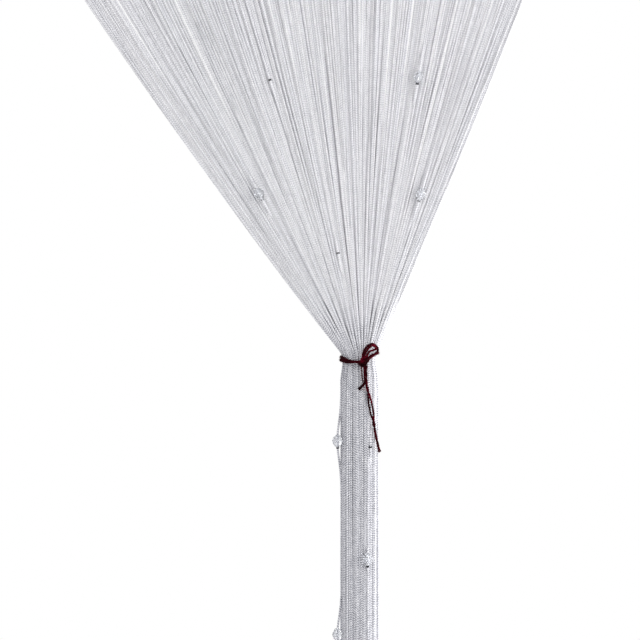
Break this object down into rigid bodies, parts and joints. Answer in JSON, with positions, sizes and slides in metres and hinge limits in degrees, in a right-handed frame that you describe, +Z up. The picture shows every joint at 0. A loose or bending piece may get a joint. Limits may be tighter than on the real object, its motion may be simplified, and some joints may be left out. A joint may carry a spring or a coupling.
{
  "type": "string curtain with a yarn tie",
  "caption": "Curtain of knitted strings on a woven heading with a rod pocket, drawn into a bundle by a tied yarn with a bow loop and free ends.",
  "frame": {"origin": "middle of the heading's top edge, where a rod would carry the curtain", "axes": "+Z up, +X along the heading to the viewer's right, -Y towards the viewer"},
  "size_m": [1, 0.0336, 2],
  "materials": {
    "tape": "white woven polyester tape, matt",
    "string": "white chain-knitted polyester string with a soft sheen",
    "yarn": "dark crimson plied yarn, matt and a little hairy",
    "bead": "clear faceted bead",
    "crimp": "small dark metal crimp"
  },
  "bodies": {
    "root": {"heading_band": "tape", "string_fringe": "string", "tie_yarn": "yarn", "tie_long_end": "yarn"}
  },
  "joints": []
}
